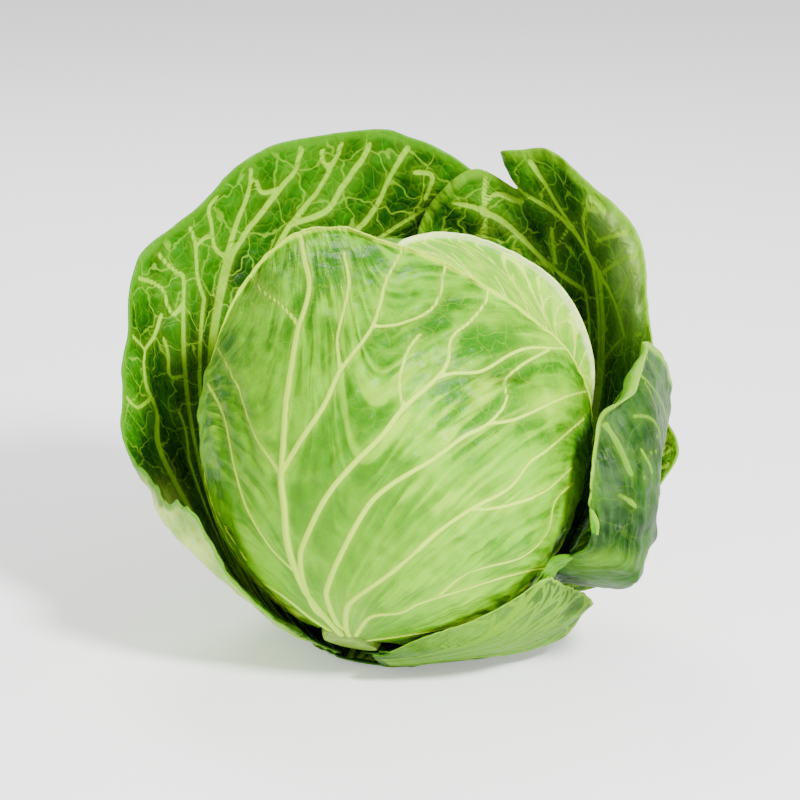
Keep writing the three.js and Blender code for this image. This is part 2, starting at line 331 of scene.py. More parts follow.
def on_curve(values, t):
    """A value on a smooth curve through evenly spaced stations."""
    values = np.asarray(values, float)
    place = np.clip(t, 0, 1) * (len(values) - 1)
    i = np.minimum(place.astype(int), len(values) - 2)
    s = place - i
    before, start = values[np.maximum(i - 1, 0)], values[i]
    end, after = values[i + 1], values[np.minimum(i + 2, len(values) - 1)]
    bend = 2 * before - 5 * start + 4 * end - after
    twist = 3 * start - before - 3 * end + after
    return start + 0.5 * s * (end - before + s * (bend + s * twist))


def ripple(t, seed, slowest, count=7):
    """A wavering line between about -1 and 1, the same on every run."""
    draw = np.random.default_rng(seed)
    line = 0
    for k in range(count):
        line = line + np.sin(2 * math.pi * (slowest + 6 * k) * t + draw.uniform(0, 6.3)) / (1 + k) ** 0.7
    return line / 2.2


def raggedness(leaf, u):
    """Degrees by which the margin wavers: a little all round, more where the leaf is torn."""
    torn_from, torn_to, torn_by = leaf["torn"]
    torn = ease(torn_from, torn_from + 0.04, u) * (1 - ease(torn_to - 0.04, torn_to, u))
    ends = np.sin(math.pi * np.clip(u, 0, 1)) ** 0.5
    return ends * (0.35 * ripple(u, leaf["seed"], 5) + torn_by * torn * ripple(u, leaf["seed"] + 7, 34))


def flat_place(leaf, u, v):
    columns = list(zip(*leaf["margin"]))
    margin_along, margin_across, stand_off = (on_curve(column, u) for column in columns[:3])
    foot_along = math.degrees((STEM_RADIUS + STEM_GAP) / (HEART_RADIUS + leaf["layer"] * FOOT_TIGHTNESS))
    foot_across = FOOT_HALF_WIDTH * (2 * u - 1)
    torn = 1 + raggedness(leaf, u) * v**8 / np.hypot(margin_along - foot_along, margin_across)
    along = foot_along + (margin_along - foot_along) * (1 - (1 - v) ** ALONG_EASE) * torn
    across = foot_across + (margin_across - foot_across) * (1 - (1 - v) ** leaf["fan"]) * torn
    direction = leaf_direction(leaf["azimuth"], along, across)
    rise = ease(leaf["rise_from"], 1.25, v) / ease(leaf["rise_from"], 1.25, 1)
    looseness = ease(2, 14, stand_off)
    wave = leaf["ruffle"] * looseness * v**4 * np.sin(leaf["ruffles"] * 2 * math.pi * u)
    swelling = ease(leaf["belly_from"], leaf["belly_full"], along) * (1 - v**4)
    bulge = leaf["belly"] * swelling * np.sin(math.pi * u)
    radius = wrap_radius(leaf["layer"], leaf["floor_order"], direction) + stand_off * rise + wave + bulge
    return direction * radius[..., None]


def leaf_place(leaf, u, v):
    """Places in mm from the ball's centre. Past curl_from the blade turns outwards round an arc."""
    curl_from = leaf["curl_from"]
    place = flat_place(leaf, u, np.minimum(v, curl_from))
    past = v > curl_from
    if not past.any():
        return place
    edge_u = u[past]
    start = place[past]
    before = flat_place(leaf, edge_u, np.full_like(edge_u, curl_from - 0.02))
    length = np.linalg.norm(flat_place(leaf, edge_u, np.ones_like(edge_u)) - start, axis=-1)
    forward = unit(start - before)
    outward = unit(start)
    outward = unit(outward - (outward * forward).sum(-1, keepdims=True) * forward)
    curl = np.radians(on_curve([m[3] for m in leaf["margin"]], edge_u))
    curl = np.where(np.abs(curl) < 0.02, 0.02, curl)
    t = (v[past] - curl_from) / (1 - curl_from)
    radius = length / curl
    place[past] = (
        start
        + forward * (radius * np.sin(curl * t))[..., None]
        + outward * (radius * (1 - np.cos(curl * t)))[..., None]
    )
    return place


# %% [markdown]
# ## Ribs
# A cabbage leaf has a thick midrib that sends out side ribs, which fork on their way to the margin. Each
# rib here is a line of points on the leaf with a half width that shrinks towards the tip. For every place
# on the leaf the nearest rib is found, and the distance to it, counted in half widths, is kept with the
# mesh. Both the raised shape of the rib and its pale colour are made from that one number.

# %% Ribs grown in a leaf's own fan
BALL_RADIUS = 88.0
THINNEST_RIB = 0.7
RIB_TIP = 0.985
FORK_SPREAD = 0.16


def rib_rows(directions, half_width):
    """One row for each point of a rib: its direction from the centre and its half width."""
    return np.column_stack([directions, np.broadcast_to(half_width, len(directions))])


def fan_of_ribs(leaf, mains, half_width, forks, seed):
    """Ribs that run out from the foot, fork, and carry two twigs on each fork."""
    draw = np.random.default_rng(seed)
    spread = FORK_SPREAD / len(mains)
    lines = []
    for main_u in mains:
        strength = 1.35 if abs(main_u - 0.5) < 0.03 else 1.0
        sway = draw.uniform(-1, 1)
        v = np.linspace(0.04, RIB_TIP, 90)
        u = main_u + 0.012 * np.sin(3 * v + sway * 3) * v
        lines.append((u, v, half_width * strength * (1 - 0.66 * v)))
        for k in range(forks):
            fork_v = 0.22 + 0.7 * (k + draw.uniform(-0.25, 0.25)) / forks
            side = 1 if (k + (main_u > 0.5)) % 2 else -1
            w = np.linspace(fork_v, min(fork_v + draw.uniform(0.3, 0.45), RIB_TIP), 45)
            reach = (w - fork_v) / 0.4
            bend = side * spread * 2.5 * (reach - 0.25 * reach**2)
            fork_u = np.interp(fork_v, v, u) + bend
            width = half_width * 0.5 * (1 - 0.6 * fork_v) * (1 - 0.6 * reach.clip(0, 1))
            lines.append((fork_u + 0.004 * np.sin(14 * w + sway * 5), w, width))
            for share, turn in ((0.35, -side), (0.68, side)):
                q = int(share * len(w))
                x = np.linspace(w[q], min(w[q] + draw.uniform(0.1, 0.2), RIB_TIP), 25)
                twig_u = fork_u[q] + turn * spread * (x - x[0]) * 12
                lines.append((twig_u, x, np.full(25, half_width * 0.24)))
    rows = []
    for u, v, width in lines:
        inside = (u > 0.01) & (u < 0.99)
        if inside.any():
            width = np.maximum(width[inside], THINNEST_RIB)
            rows.append(rib_rows(unit(leaf_place(leaf, u[inside], v[inside])), width))
    return np.vstack(rows)


# %% [markdown]
# The large leaf in front is the one that the eye rests on, so its ribs aren't left to a rule: each is
# followed in the photograph. A line of sight through a pixel meets the ball at one place, and that place
# becomes a point of the rib.

# %% Ribs followed in the photograph
FRONT_RIB_SHARE = 0.8
FRONT_RIBS = {
    "midrib": (2.6, 1.2, [(352, 652), (312, 605), (295, 570), (287, 540), (285, 510), (282, 480),
                          (284, 450), (288, 398), (295, 352), (300, 327), (311, 290), (308, 261),
                          (307, 229)]),
    "top_left": (1.1, 0.5, [(300, 327), (284, 307), (265, 293), (256, 270), (254, 250)]),
    "high_left": (1.2, 0.5, [(283, 478), (272, 460), (258, 440), (245, 410), (235, 380), (218, 345)]),
    "low_left": (1.6, 0.6, [(345, 645), (325, 632), (310, 622), (290, 605), (270, 590), (232, 566),
                            (215, 540), (203, 480), (197, 430)]),
    "mid_left": (1.0, 0.4, [(296, 575), (270, 548), (248, 510), (236, 470), (226, 420), (212, 385)]),
    "right_1": (1.6, 0.6, [(284, 470), (302, 440), (325, 405), (341, 371), (373, 327), (387, 281),
                           (403, 251), (405, 236)]),
    "right_1_fork": (0.9, 0.5, [(373, 327), (398, 325), (428, 313), (440, 295), (442, 277), (449, 262)]),
    "right_1_twig": (0.7, 0.4, [(341, 371), (338, 340), (345, 310), (350, 285), (346, 258)]),
    "right_2": (1.8, 0.7, [(322, 620), (312, 610), (302, 580), (300, 560), (303, 545), (324, 501),
                           (350, 468), (383, 435), (403, 409), (436, 379), (447, 363), (452, 338),
                           (470, 322), (485, 302), (487, 280)]),
    "right_2_fork": (0.8, 0.4, [(436, 379), (452, 374), (480, 372), (508, 356), (528, 350), (560, 352)]),
    "right_2_twig": (0.7, 0.4, [(403, 409), (400, 380), (408, 352), (420, 335)]),
    "right_3": (1.7, 0.6, [(342, 632), (335, 625), (326, 600), (328, 585), (342, 552), (368, 506),
                           (393, 483), (431, 460), (462, 437), (487, 424), (503, 404), (504, 384),
                           (520, 366), (545, 352)]),
    "right_3_fork": (0.8, 0.4, [(487, 424), (512, 420), (540, 408), (566, 396), (585, 392)]),
    "right_4": (1.6, 0.6, [(348, 640), (345, 630), (346, 612), (355, 600), (393, 572), (431, 537),
                           (470, 509), (508, 488), (528, 463), (546, 450), (569, 430), (580, 419)]),
    "right_4_fork": (0.8, 0.4, [(470, 509), (492, 508), (516, 502), (545, 490), (570, 468)]),
    "right_5": (1.3, 0.5, [(355, 640), (370, 620), (400, 615), (420, 605), (450, 595), (495, 580),
                           (530, 570), (550, 566)]),
    "right_6": (0.9, 0.5, [(440, 596), (470, 572), (521, 557), (546, 532), (554, 501), (572, 483)]),
    "low_right": (1.0, 0.4, [(360, 646), (400, 640), (440, 632), (480, 618), (510, 605)]),
}


def sight_to_ball(pixels):
    """Where lines of sight through pixels of the photograph first meet the ball, as directions."""
    offset = (np.asarray(pixels, float) - CENTRE_PIXEL) * MM_PER_PIXEL
    on_plane = offset[:, :1] * view_right - offset[:, 1:] * view_up
    start = view_back * CAMERA_DISTANCE
    ray = unit(on_plane - start)
    nearness = -(ray @ start)
    direction = unit(start + ray * nearness[:, None])
    for _ in range(4):
        radius = BALL_RADIUS * (1 - NARROWING * direction[:, 0] ** 2)
        inside = np.maximum(nearness**2 - CAMERA_DISTANCE**2 + radius**2, 0)
        direction = unit(start + ray * (nearness - np.sqrt(inside))[:, None])
    return direction


def pixel_line(pixels):
    """A smooth line through a few pixels, with a point for each pixel of its length."""
    corners = np.array(pixels, float)
    length = np.linalg.norm(np.diff(corners, axis=0), axis=1).sum()
    t = np.linspace(0, 1, max(int(length), 8))
    return np.column_stack([on_curve(corners[:, 0], t), on_curve(corners[:, 1], t)]), t


def ribs_from_photo(ribs):
    """Each rib is its half width at the thick end and at the thin end, and the pixels it runs through."""
    rows = []
    for thick, thin, pixels in ribs.values():
        path, t = pixel_line(pixels)
        width = np.maximum(FRONT_RIB_SHARE * (thick + (thin - thick) * t), THINNEST_RIB)
        rows.append(rib_rows(sight_to_ball(path), width))
    return np.vstack(rows)


front_ribs = ribs_from_photo(FRONT_RIBS)
print(len(FRONT_RIBS), "ribs of the front leaf,", len(front_ribs), "points")

# %% [markdown]
# The leaves that stand away from the ball can't be met that way. There the leaf itself is looked through
# for the place that is seen at the pixel, and where a main rib goes out of sight behind the ball it runs
# on, straight down the leaf's own fan, to the foot.

# %% Ribs followed on a standing leaf
STANDING_RIB_SHARE = 0.85
MAIN_RIB = 0.9
FOOT_POINTS = 220


def seen_at(places):
    """The pixels of the photograph at which places, in mm from the ball's centre, are seen."""
    scale = CAMERA_DISTANCE / (CAMERA_DISTANCE - places @ view_back) / MM_PER_PIXEL
    return CENTRE_PIXEL[0] + places @ view_right * scale, CENTRE_PIXEL[1] - places @ view_up * scale


def seen_on(leaf, path):
    """Which u and v of a leaf are seen along a line of pixels."""
    u, v = np.meshgrid(np.linspace(0.01, 0.99, 220), np.linspace(0.1, 0.98, 120))
    u, v = u.ravel(), v.ravel()
    across, down = seen_at(leaf_place(leaf, u, v))
    found = []
    for x, y in path:
        away = (across - x) ** 2 + (down - y) ** 2 + 0.3
        near = np.argpartition(away, 6)[:6]
        best = near[away[near].argmin()]
        near = near[(abs(u[near] - u[best]) < 0.02) & (abs(v[near] - v[best]) < 0.03)]
        found.append([np.average(one[near], weights=1 / away[near]) for one in (u, v)])
    found = np.pad(np.array(found), ((4, 4), (0, 0)), "edge")
    return [np.convolve(column, np.full(9, 1 / 9), "valid") for column in found.T]


def ribs_seen_on(leaf, ribs):
    """Ribs given as for the front leaf. Those of MAIN_RIB or more run on to the foot."""
    rows = []
    for thick, thin, pixels in ribs.values():
        path, t = pixel_line(pixels)
        u, v = seen_on(leaf, path)
        width = np.maximum(STANDING_RIB_SHARE * (thick + (thin - thick) * t), THINNEST_RIB)
        rows.append(rib_rows(unit(leaf_place(leaf, u, v)), width))
        if thick >= MAIN_RIB:
            down = np.linspace(0.05, v[0], FOOT_POINTS)
            widths = np.linspace(thick, STANDING_RIB_SHARE * thick, FOOT_POINTS)
            rows.append(rib_rows(unit(leaf_place(leaf, np.full(FOOT_POINTS, u[0]), down)), widths))
    return np.vstack(rows)


LEFT_RIBS = {
    "trunk": (1.5, 0.7, [(224, 270), (229, 248), (236, 224), (248, 193), (251, 168)]),
    "trunk_fork": (0.7, 0.4, [(224, 256), (214, 246), (211, 224), (208, 208), (214, 193)]),
    "top_1": (1.2, 0.6, [(231, 256), (246, 231), (260, 214), (280, 188), (294, 171), (301, 151),
                         (300, 142)]),
    "top_2": (1.0, 0.5, [(288, 227), (301, 210), (318, 190), (330, 168), (339, 151), (341, 142)]),
    "top_3": (1.0, 0.5, [(289, 224), (326, 211), (340, 190), (352, 173), (364, 156), (370, 143)]),
    "top_4": (1.1, 0.5, [(364, 223), (378, 203), (390, 177), (401, 158), (409, 146)]),
    "top_2_twig": (0.7, 0.5, [(330, 168), (322, 160), (323, 148)]),
    "top_1_twig": (0.6, 0.4, [(280, 188), (262, 192), (256, 180)]),
    "upper_1": (1.0, 0.5, [(204, 299), (197, 277), (195, 246), (190, 227)]),
    "upper_1_twig": (0.5, 0.4, [(195, 246), (203, 238), (209, 236)]),
    "upper_2": (1.1, 0.7, [(184, 360), (183, 326), (183, 299), (183, 275)]),
    "upper_2_fork": (0.6, 0.4, [(183, 302), (174, 314), (168, 307), (163, 290), (158, 285), (137, 277)]),
    "upper_2_twig": (0.5, 0.4, [(183, 275), (168, 265), (158, 253)]),
    "margin": (1.7, 0.7, [(175, 483), (158, 445), (156, 411), (146, 386), (143, 362), (144, 350),
                          (132, 336)]),
    "margin_high_twig": (0.6, 0.4, [(144, 350), (154, 336), (161, 314)]),
    "margin_low_twig": (0.6, 0.4, [(149, 399), (137, 408), (125, 396)]),
    "low_1": (0.6, 0.4, [(183, 376), (169, 376), (168, 353), (163, 338)]),
    "low_2": (0.9, 0.4, [(188, 459), (185, 430), (178, 411)]),
    "top_5": (1.0, 0.5, [(390, 230), (421, 211), (449, 198), (466, 176)]),
    "top_5_twig": (0.6, 0.4, [(414, 172), (433, 175), (425, 199)]),
}
RIGHT_RIBS = {
    "inner": (1.0, 0.5, [(587, 292), (559, 272), (535, 251), (511, 227), (483, 210), (455, 202)]),
    "upper": (1.3, 0.5, [(600, 275), (594, 261), (573, 230), (552, 210), (520, 190)]),
    "top": (1.1, 0.5, [(594, 265), (580, 237), (559, 206), (545, 182), (530, 160)]),
    "inner_twig": (0.6, 0.4, [(557, 262), (554, 247), (552, 227)]),
    "outer": (0.9, 0.5, [(600, 275), (621, 261), (642, 254)]),
    "low": (1.0, 0.6, [(600, 275), (611, 292), (618, 309), (625, 334)]),
    "top_fork": (0.8, 0.4, [(590, 255), (584, 223), (587, 210), (600, 210)]),
    "outer_high": (0.7, 0.4, [(597, 241), (621, 234), (638, 227)]),
    "outer_low": (0.9, 0.5, [(604, 361), (621, 340), (642, 334)]),
    "low_twig": (0.6, 0.4, [(618, 308), (628, 282), (635, 268)]),
    "top_twig": (0.6, 0.4, [(584, 223), (592, 196), (606, 212)]),
}
SIDE_RIBS = {
    "outer": (0.85, 0.5, [(631, 368), (652, 389), (664, 413), (667, 447), (666, 480)]),
    "inner": (0.85, 0.5, [(604, 423), (618, 444), (631, 475)]),
    "low": (0.8, 0.5, [(618, 495), (638, 509), (648, 530)]),
    "twig": (0.6, 0.4, [(640, 450), (650, 470), (652, 500)]),
}
print(len(LEFT_RIBS) + len(RIGHT_RIBS) + len(SIDE_RIBS), "ribs on the standing leaves")

# %% [markdown]
# The front leaf also has folds and a dent that aren't ribs, and light and shade are painted into its green:
# painted shade where the leaf turns away on the right and where the blade sinks, a yellower painted light
# where it swells, and pale painted glints in streaks. Folds are lines like the ribs but wide and low. The
# painted shade, light and glints are a few soft patches. Both are placed by the pixel that they are seen
# at, and turned into numbers that stay with the leaf.

# %% Folds, painted shade, painted light and painted glints of the front leaf
FRONT_FOLDS = {
    "left_ridge": (4.0, 1.5, [(208, 365), (214, 410), (222, 455), (234, 505), (250, 545)]),
    "left_furrow": (3.0, -1.1, [(238, 390), (246, 430), (256, 470), (268, 505)]),
    "dent": (2.6, -2.2, [(478, 384), (498, 379), (520, 377), (548, 381)]),
    "swelling_over_dent": (6.0, 1.3, [(470, 362), (500, 352), (530, 348), (560, 352)]),
    "swelling_under_dent": (7.0, 1.2, [(468, 408), (495, 400), (520, 398)]),
    "streak_1": (2.2, 0.8, [(322, 480), (352, 442), (384, 418), (410, 396)]),
    "streak_2": (2.0, 0.8, [(338, 462), (372, 432), (404, 410)]),
    "streak_3": (2.0, 0.9, [(345, 402), (372, 380), (402, 362), (436, 345)]),
    "streak_4": (2.0, 0.8, [(352, 418), (384, 396), (420, 374)]),
    "streak_5": (2.2, 0.9, [(378, 470), (412, 444), (446, 420), (470, 404)]),
    "streak_6": (2.0, 0.8, [(400, 474), (430, 455), (470, 436), (496, 428)]),
    "streak_7": (2.2, 0.8, [(400, 522), (440, 494), (478, 474), (505, 460)]),
    "streak_8": (2.2, 0.8, [(400, 556), (440, 540), (490, 520), (530, 500)]),
    "streak_9": (2.6, 0.9, [(410, 590), (450, 575), (500, 552), (536, 522)]),
}
# Painted shade: patches that darken the green where the leaf turns away from the light and where it sinks.
FRONT_PAINTED_SHADE = {
    "right_edge": (596, 440, 20, 70, 1.0),
    "right_edge_low": (588, 520, 14, 60, 0.9),
    "beside_right_edge": (560, 440, 22, 26, 0.45),
    "top_left": (262, 288, 18, 24, 0.8),
    "top_left_high": (286, 252, 14, 18, 0.45),
    "low_left": (226, 548, 22, 34, 0.9),
    "left_furrow": (252, 450, 10, 46, 0.5),
    "dent": (506, 379, 34, 5, 1.0),
    "under_fork": (446, 296, 24, 12, 0.5),
    "along_midrib": (300, 400, 8, 60, 0.3),
    "upper_middle": (420, 330, 26, 16, 0.35),
    "right_of_midrib": (330, 350, 16, 30, 0.35),
    "bottom": (470, 640, 60, 10, 0.6),
    "bottom_left": (300, 630, 30, 14, 0.6),
    "left_shoulder": (230, 340, 16, 26, 0.45),
    "top_middle": (345, 255, 24, 14, 0.35),
    "left_edge": (222, 430, 24, 110, 0.5),
    "left_of_midrib": (262, 400, 18, 90, 0.35),
}
# Painted light: patches that lighten the green where the blade swells towards the light.
FRONT_PAINTED_LIGHT = {
    "under_dent": (545, 402, 26, 16, 1.0),
    "over_dent": (556, 335, 34, 16, 0.8),
    "upper_right": (500, 318, 30, 12, 0.5),
    "low_middle": (400, 560, 70, 40, 0.35),
    "top": (350, 300, 24, 22, 0.3),
    "middle_right": (470, 500, 60, 30, 0.35),
    "low_right": (460, 590, 50, 26, 0.4),
    "foot": (345, 610, 26, 34, 0.5),
}
# Painted glints: patches of pale streaks that stand in for highlights on the glossy leaf.
FRONT_PAINTED_GLINTS = {
    "middle": (420, 415, 84, 50, 0.9),
    "under_dent": (485, 395, 40, 20, 1.0),
    "left_edge": (220, 430, 9, 60, 0.4),
    "middle_right": (450, 500, 80, 44, 0.6),
    "top": (340, 290, 26, 34, 0.4),
    "left_furrow": (268, 440, 10, 50, 0.4),
    "low_left": (250, 520, 12, 40, 0.4),
    "right": (520, 420, 30, 24, 0.5),
    "low_right": (440, 600, 60, 22, 0.4),
    "top_middle": (370, 270, 26, 20, 0.3),
}
PATCH_FADE = 30


def patch_strength(places, patches, seen_from):
    """How strong the patches are at each place. They fade out towards seen_from, away from the eye.

    A patch is the pixel of its middle, its half width and half height in pixels, and its strength."""
    across, down = seen_at(places)
    strength = np.zeros(len(places))
    for x, y, half_width, half_height, amount in patches:
        away = ((across - x) / half_width) ** 2 + ((down - y) / half_height) ** 2
        strength = np.maximum(strength, amount * np.exp(-away))
    return strength * ease(seen_from, seen_from + PATCH_FADE, places @ view_back)


print(len(FRONT_FOLDS), "folds,", len(FRONT_PAINTED_SHADE) + len(FRONT_PAINTED_LIGHT) + len(FRONT_PAINTED_GLINTS), "patches")

# %% [markdown]
# ## The relief of a leaf
# Ribs are raised, and the blade between them swells in soft blisters and in fine streaks along its fibres.
# All of it is one height over the blade, so it is real shape and not only shading. The distance to the
# nearest rib is kept, because the finish needs it too.

# %% Ribs, blisters and streaks
THICK_RIB = 1.1
RIB_STEEPNESS = 1.1
CALM_BESIDE_RIB = 4.0
BLISTER_SIZE = 17
SMALL_BLISTER_SIZE = 8
STREAKS = 40
STREAK_HEIGHT = 0.25
STREAK_SWAY_SIZE = 36
STREAK_FIELD_SIZE = 38


def nearest_rib(directions, ribs):
    """The distance to the nearest rib in half widths, and its half width.

    Thick and thin ribs are searched apart, because the nearest point may belong to a thin rib while the
    place is still on the flank of a thick one."""
    relative = np.full(len(directions), 1e9)
    half_width = np.ones(len(directions))
    thick = ribs[:, 3] >= THICK_RIB
    for rows in (ribs[~thick], ribs[thick]):
        if not len(rows):
            continue
        tree = KDTree(len(rows))
        for number, row in enumerate(rows.tolist()):
            tree.insert(row[:3], number)
        tree.balance()
        found = [tree.find(direction)[1:] for direction in directions.tolist()]
        width = rows[[number for number, _ in found], 3]
        score = np.array([distance for _, distance in found]) * BALL_RADIUS / width
        half_width = np.where(score < relative, width, half_width)
        relative = np.minimum(score, relative)
    return relative, half_width


def puckers(places, size, seed, count=14):
    """Soft uneven bumps about `size` mm across, between about -1 and 1."""
    draw = np.random.default_rng(seed)
    waves = unit(draw.normal(size=(count, 3))) * (2 * math.pi / size) * draw.uniform(0.6, 1.5, (count, 1))
    return np.sin(places @ waves.T + draw.uniform(0, 6.3, count)).sum(-1) / math.sqrt(count)


def relief(leaf, places, u, v, ribs, folds, rib_height, pucker):
    """How far the blade is raised at each place, and the numbers that its finish needs."""
    directions = unit(places)
    relative, half_width = nearest_rib(directions, ribs)
    gap = relative * half_width
    raised = rib_height * half_width * np.exp(-RIB_STEEPNESS * relative**2)
    free = ease(0.02, 0.2, v)
    between = 1 - np.exp(-((gap / CALM_BESIDE_RIB) ** 2))
    seed = leaf["seed"]
    blister = 0.55 * puckers(places, BLISTER_SIZE, seed)
    blister = blister + 0.35 * puckers(places, SMALL_BLISTER_SIZE, seed + 1)
    raised += pucker * between * free * (0.35 + blister)
    turn = u - leaf["lean"] * v * (2 * ease(0.25, 0.5, u) - 1)
    wave = np.sin(2 * math.pi * STREAKS * turn + 2 * puckers(places, STREAK_SWAY_SIZE, seed + 3))
    field = ease(-0.2, 1.2, puckers(places, STREAK_FIELD_SIZE, seed + 2))
    raised += STREAK_HEIGHT * between * free * wave * field
    for wide, high, pixels in folds:
        line = rib_rows(sight_to_ball(pixel_line(pixels)[0]), wide)
        raised += high * np.exp(-nearest_rib(directions, line)[0] ** 2) * (places @ view_back > 0)
    return raised, {"rib": relative.clip(0, 20), "gap": gap.clip(0, 60), "turn": turn, "reach": v}


# %% [markdown]
# ## Growing a leaf
# A leaf starts as a flat grid, and `solidify` gives the sheet a second face. Its two directions become the
# way round the margin and the way out from the foot, and each vertex is moved to its place on the head,
# half the blade's thickness out or in. Each vertex keeps the numbers that the finish needs: the distance to
# the nearest rib, how near the margin it is, which face it is on, and how strongly patches of painted
# shade, painted light and painted glints colour it.

# %% From a flat grid to a leaf
FLAT_BLADE = 0.1
FINE_BLADE = 0.8


def flat_sheet(name, columns, rows):
    """A flat sheet with two faces, whose vertices keep their number in the grid, row by row."""
    sheet = bmesh.new()
    bmesh.ops.create_grid(sheet, x_segments=columns, y_segments=rows, size=0.5)
    tag = sheet.verts.layers.int.new("grid_place")
    ordered = sorted(sheet.verts, key=lambda vertex: (round(vertex.co.y, 6), vertex.co.x))
    for number, vertex in enumerate(ordered):
        vertex[tag] = number
    bmesh.ops.solidify(sheet, geom=sheet.faces[:], thickness=FLAT_BLADE)
    bmesh.ops.recalc_face_normals(sheet, faces=sheet.faces)
    mesh = bpy.data.meshes.new(name)
    sheet.to_mesh(mesh)
    sheet.free()
    return mesh


def keep_numbers(mesh, label, numbers):
    kept = mesh.attributes.new(label, "FLOAT", "POINT")
    kept.data.foreach_set("value", numbers.astype(np.float32))


def lay_leaf_map(mesh, leaf, u, v, number):
    """A map in centimetres on the ball, so that the network of veins has one size on every leaf."""
    flat = unit(flat_place(leaf, u, v))
    up, right = leaf_axes(leaf["azimuth"])
    angles = np.column_stack([np.arcsin(flat @ right), np.arctan2(flat @ up, flat @ stem_axis)])
    loops = np.empty(len(mesh.loops), np.int32)
    mesh.loops.foreach_get("vertex_index", loops)
    centimetres = (angles * BALL_RADIUS / 10)[number[loops]].astype(np.float32)
    mesh.uv_layers.new(name="leaf").data.foreach_set("uv", centimetres.ravel())


def grow_leaf(name, leaf, ribs, finish, columns, rows, rib_height=0.5, pucker=0.5, folds=(),
              painted_shade=(), pale_and_painted_light=(), painted_glint=()):
    mesh = flat_sheet(name, columns, rows)
    u, v = np.meshgrid(np.linspace(0, 1, columns + 1), np.linspace(0, 1, rows + 1))
    u, v = u.ravel(), v.ravel()
    places = leaf_place(leaf, u, v)
    grid = places.reshape(rows + 1, columns + 1, 3)
    normals = unit(np.cross(np.gradient(grid, axis=1), np.gradient(grid, axis=0))).reshape(-1, 3)
    raised, kept = relief(leaf, places, u, v, ribs, folds, rib_height, pucker)
    # Patches of painted shade, painted light and painted glints, kept with each vertex.
    for label, patches in (("painted_shade", painted_shade), ("pale_and_painted_light", pale_and_painted_light), ("painted_glint", painted_glint)):
        kept[label] = patch_strength(places, patches, leaf["seen_from"])

    count = len(mesh.vertices)
    number = np.empty(count, np.int32)
    mesh.attributes["grid_place"].data.foreach_get("value", number)
    where = np.empty(count * 3)
    mesh.vertices.foreach_get("co", where)
    height = where.reshape(-1, 3)[:, 2]
    outside = (height > (height.min() + height.max()) / 2).astype(np.float32)
    lift = raised[number] + FINE_BLADE * (outside - 0.5)
    where = places[number] + normals[number] * lift[:, None] + HEAD_CENTRE
    keep_numbers(mesh, "outside", outside)
    for label, numbers in kept.items():
        keep_numbers(mesh, label, numbers[number])
    lay_leaf_map(mesh, leaf, u, v, number)
    mesh.attributes.remove(mesh.attributes["grid_place"])

    where[:, 2] = np.maximum(where[:, 2], 0.0)
    where *= MM
    mesh.vertices.foreach_set("co", where.ravel())
    mesh.polygons.foreach_set("use_smooth", np.ones(len(mesh.polygons), bool))
    mesh.materials.append(finish)
    piece = bpy.data.objects.new(name + "_fine", mesh)
    bpy.context.scene.collection.objects.link(piece)
    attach(piece, "root")
    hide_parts(name)
    size = (where.max(0) - where.min(0)) * 1000
    print(f"{name}: {len(mesh.polygons)} faces, outside {outside.mean():.2f}, {size.round(0)} mm")


# %% [markdown]
# ## What a leaf is coloured like
# A cabbage leaf is pale and waxy where it was wrapped and dark where it saw the sun. Its ribs are nearly
# white at the foot. Between them runs a network of fine veins that closes into small fields near the
# margin. The finish stacks these: slow changes of green, the network, a pale glow beside each rib, and the
# rib itself. Over them it lays patches of painted shade, painted light and painted glints.

# %% The finish of a leaf
DEW = screen(176, 206, 160)
# The colour of painted glints: pale streaks that stand in for highlights on the glossy leaf.
PAINTED_GLINT = screen(166, 216, 20)


